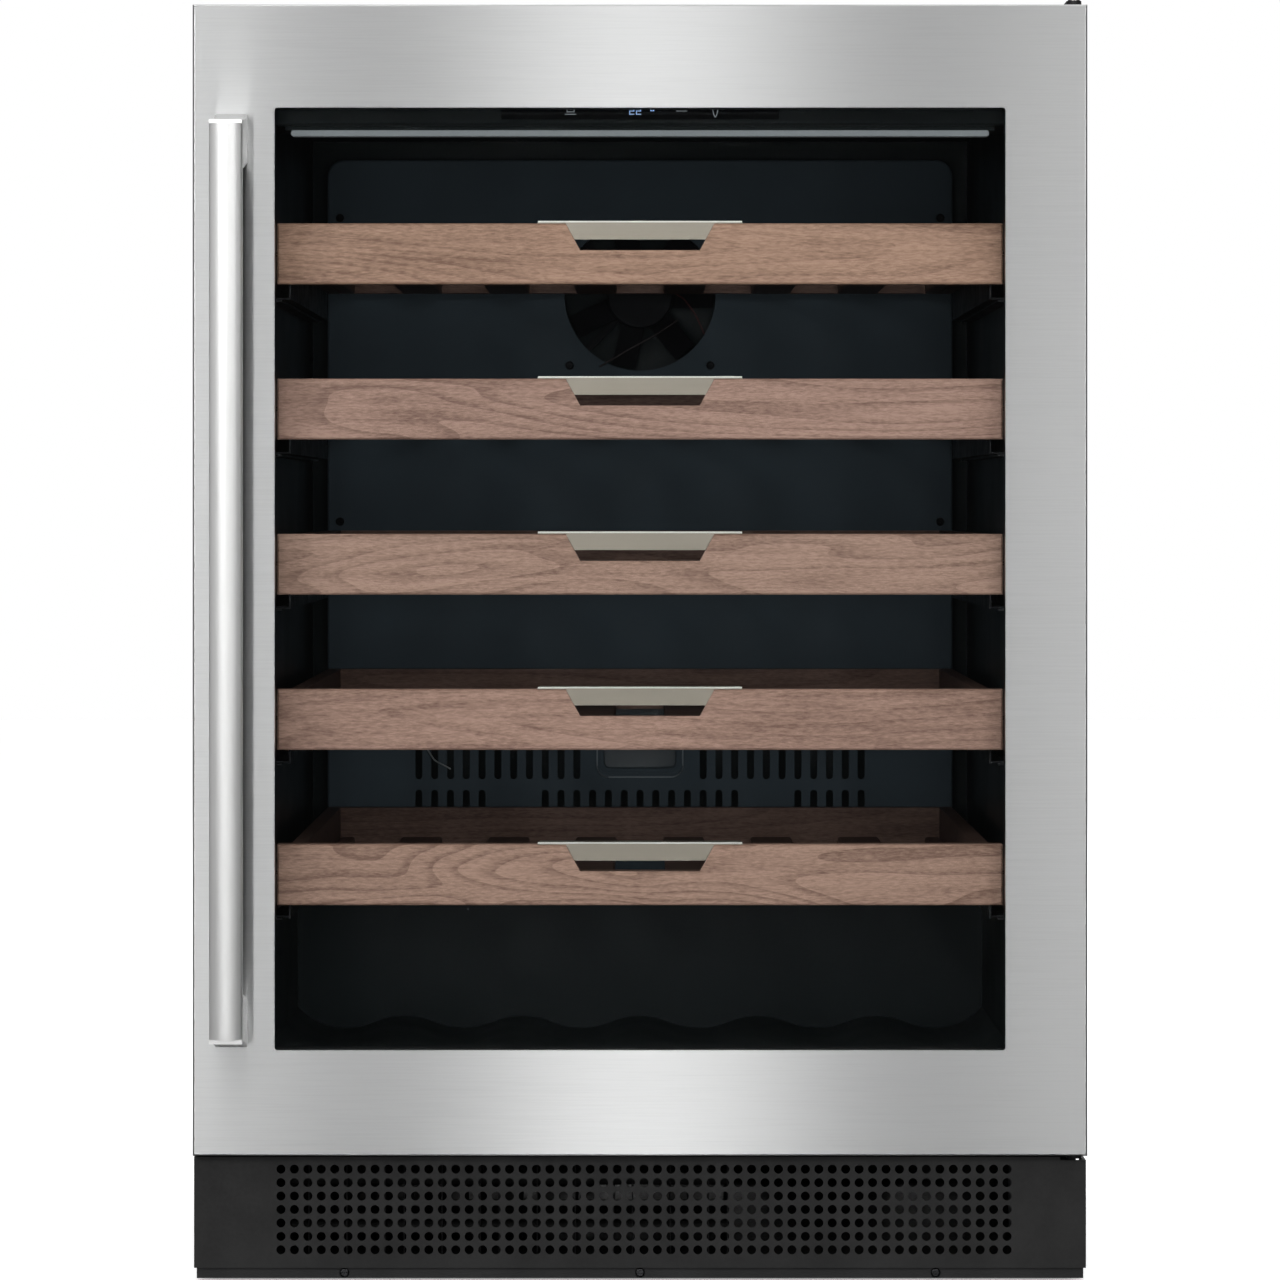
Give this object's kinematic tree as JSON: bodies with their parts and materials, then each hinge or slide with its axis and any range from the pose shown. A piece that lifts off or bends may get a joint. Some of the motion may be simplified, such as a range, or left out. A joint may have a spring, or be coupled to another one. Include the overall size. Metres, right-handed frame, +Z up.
{
  "type": "wine cooler",
  "caption": "Under-counter wine cooler with a framed glass door, a bar handle, roll-out slatted shelves with wood fronts and a perforated toe grille.",
  "frame": {"origin": "middle of the footprint on the floor", "axes": "+Z up, -Y towards the front of the door, +X to the right as seen from the front"},
  "size_m": [0.603, 0.655, 0.868],
  "materials": {
    "black_enamel": "satin",
    "galvanised": "satin",
    "foam": "matte",
    "black_liner": "satin",
    "grille_black": "satin",
    "steel": "satin",
    "zinc": "satin",
    "fan_plastic": "matte",
    "aluminium": "satin",
    "display_gloss": "gloss",
    "circuit_board": "satin",
    "light_diffuser": "satin",
    "rubber": "matte",
    "rubber_foot": "matte",
    "copper": "satin",
    "stainless": "satin",
    "tinted_glass": "gloss",
    "clear_glass": "gloss",
    "frame_plastic": "satin",
    "bush_plastic": "satin",
    "gasket_rubber": "matte",
    "handle_metal": "satin",
    "shelf_wood": "satin",
    "tray_wood": "satin",
    "pull_metal": "satin"
  },
  "bodies": {
    "cabinet": {"outer_case": "black_enamel", "rear_panel": "galvanised", "foam_insulation": "foam", "inner_liner": "black_liner", "base_pan": "black_enamel", "toe_grille": "grille_black", "hinge_brackets": "black_enamel", "hinge_pins": "steel", "slide_rails": "zinc", "duct_cover": "black_liner", "filter_cover": "black_liner", "circulation_fan_housing": "fan_plastic", "evaporator_coil": "aluminium", "control_panel": "black_liner", "display_window": "display_gloss", "control_board": "circuit_board", "light_bar": "light_diffuser", "compressor": "black_enamel", "compressor_mounts": "rubber", "drip_tray": "fan_plastic", "condenser_coil": "aluminium", "condenser_fan_housing": "fan_plastic", "refrigerant_pipes": "copper", "power_inlet": "fan_plastic", "cabinet_screws": "zinc"},
    "door": {"door_skin": "stainless", "outer_glass": "tinted_glass", "inner_glass": "clear_glass", "glass_spacer": "aluminium", "door_inner_frame": "frame_plastic", "door_bushes": "bush_plastic", "door_gasket": "gasket_rubber", "handle_bar": "handle_metal", "handle_brackets": "handle_metal"},
    "shelf_1": {"shelf_1_front": "shelf_wood", "shelf_1_tray": "tray_wood", "shelf_1_pull": "pull_metal", "shelf_1_runners": "zinc"},
    "shelf_2": {"shelf_2_front": "shelf_wood", "shelf_2_tray": "tray_wood", "shelf_2_pull": "pull_metal", "shelf_2_runners": "zinc"},
    "shelf_3": {"shelf_3_front": "shelf_wood", "shelf_3_tray": "tray_wood", "shelf_3_pull": "pull_metal", "shelf_3_runners": "zinc"},
    "shelf_4": {"shelf_4_front": "shelf_wood", "shelf_4_tray": "tray_wood", "shelf_4_pull": "pull_metal", "shelf_4_runners": "zinc"},
    "shelf_5": {"shelf_5_front": "shelf_wood", "shelf_5_tray": "tray_wood", "shelf_5_pull": "pull_metal", "shelf_5_runners": "zinc"},
    "circulation_fan": {"circulation_fan_rotor": "fan_plastic"},
    "condenser_fan": {"condenser_fan_rotor": "fan_plastic"},
    "foot_front_left": {"foot_front_left": "rubber_foot"},
    "foot_front_right": {"foot_front_right": "rubber_foot"},
    "foot_rear_left": {"foot_rear_left": "rubber_foot"},
    "foot_rear_right": {"foot_rear_right": "rubber_foot"}
  },
  "joints": [
    {"name": "door_hinge", "type": "hinge", "parent": "cabinet", "child": "door", "pos_m": [0.294, -0.2575, 0.474], "axis": [0, 0, 1], "range_deg": [0, 110]},
    {"name": "shelf_1_slide", "type": "slide", "parent": "cabinet", "child": "shelf_1", "axis": [0, -1, 0], "range_m": [0, 0.016]},
    {"name": "shelf_2_slide", "type": "slide", "parent": "cabinet", "child": "shelf_2", "axis": [0, -1, 0], "range_m": [0, 0.016]},
    {"name": "shelf_3_slide", "type": "slide", "parent": "cabinet", "child": "shelf_3", "axis": [0, -1, 0], "range_m": [0, 0.016]},
    {"name": "shelf_4_slide", "type": "slide", "parent": "cabinet", "child": "shelf_4", "axis": [0, -1, 0], "range_m": [0, 0.016]},
    {"name": "shelf_5_slide", "type": "slide", "parent": "cabinet", "child": "shelf_5", "axis": [0, -1, 0], "range_m": [0, 0.016]},
    {"name": "circulation_fan_spin", "type": "hinge", "parent": "cabinet", "child": "circulation_fan", "pos_m": [0, 0.265, 0.687], "axis": [0, -1, 0], "continuous": true},
    {"name": "condenser_fan_spin", "type": "hinge", "parent": "cabinet", "child": "condenser_fan", "pos_m": [-0.09, 0.165, 0.0708], "axis": [0, -1, 0], "continuous": true},
    {"name": "foot_front_left_screw", "type": "slide", "parent": "cabinet", "child": "foot_front_left", "axis": [0, 0, -1], "range_m": [0, 0.02]},
    {"name": "foot_front_right_screw", "type": "slide", "parent": "cabinet", "child": "foot_front_right", "axis": [0, 0, -1], "range_m": [0, 0.02]},
    {"name": "foot_rear_left_screw", "type": "slide", "parent": "cabinet", "child": "foot_rear_left", "axis": [0, 0, -1], "range_m": [0, 0.02]},
    {"name": "foot_rear_right_screw", "type": "slide", "parent": "cabinet", "child": "foot_rear_right", "axis": [0, 0, -1], "range_m": [0, 0.02]}
  ]
}
